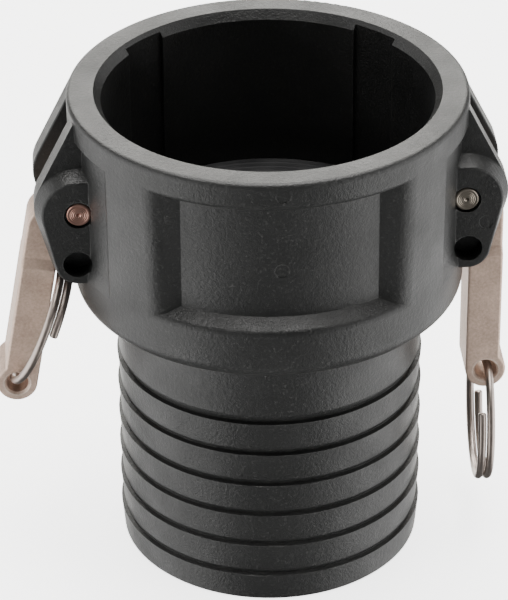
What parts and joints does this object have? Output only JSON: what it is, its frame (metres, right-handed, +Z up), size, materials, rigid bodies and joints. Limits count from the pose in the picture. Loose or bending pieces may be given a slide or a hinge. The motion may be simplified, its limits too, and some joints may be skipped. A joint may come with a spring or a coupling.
{
  "type": "camlock coupling",
  "caption": "Moulded female camlock coupler with a barbed hose tail and cam levers with split pull rings.",
  "frame": {"origin": "centre of the hose tail's end face, on the axis", "axes": "+Z up the axis towards the mouth of the socket, +X towards the right lever, -Y the front face"},
  "size_m": [0.1465, 0.1116, 0.1433],
  "materials": {
    "body_plastic": "black glass-filled polypropylene, moulded satin",
    "gasket_rubber": "black nitrile rubber",
    "pin_steel": "turned stainless steel",
    "lever_steel": "cast and tumbled stainless steel",
    "ring_steel": "drawn stainless wire"
  },
  "bodies": {
    "coupler": {"coupler_body": "body_plastic", "gasket": "gasket_rubber", "pin_left": "pin_steel", "pin_right": "pin_steel"},
    "lever_left_body": {"lever_left": "lever_steel"},
    "lever_right_body": {"lever_right": "lever_steel"},
    "ring_left_body": {"ring_left": "ring_steel"},
    "ring_right_body": {"ring_right": "ring_steel"}
  },
  "joints": [
    {"name": "lever_right_swing", "type": "hinge", "parent": "coupler", "child": "lever_right_body", "pos_m": [0.0536, 0, 0.1155], "axis": [0, -1, 0], "range_deg": [0, 115]},
    {"name": "lever_left_swing", "type": "hinge", "parent": "coupler", "child": "lever_left_body", "pos_m": [-0.0536, 0, 0.1155], "axis": [0, 1, 0], "range_deg": [0, 105]},
    {"name": "ring_right_swing", "type": "hinge", "parent": "lever_right_body", "child": "ring_right_body", "pos_m": [0.06205, 0, 0.0524], "axis": [0, -1, 0], "range_deg": [-10, 150]},
    {"name": "ring_left_swing", "type": "hinge", "parent": "lever_left_body", "child": "ring_left_body", "pos_m": [-0.07288, 0, 0.05483], "axis": [0, 1, 0], "range_deg": [0, 50.9]}
  ],
  "couplings": [
    {"joint": "ring_left_swing", "follows": "lever_left_swing", "ratio": 0.4844}
  ]
}
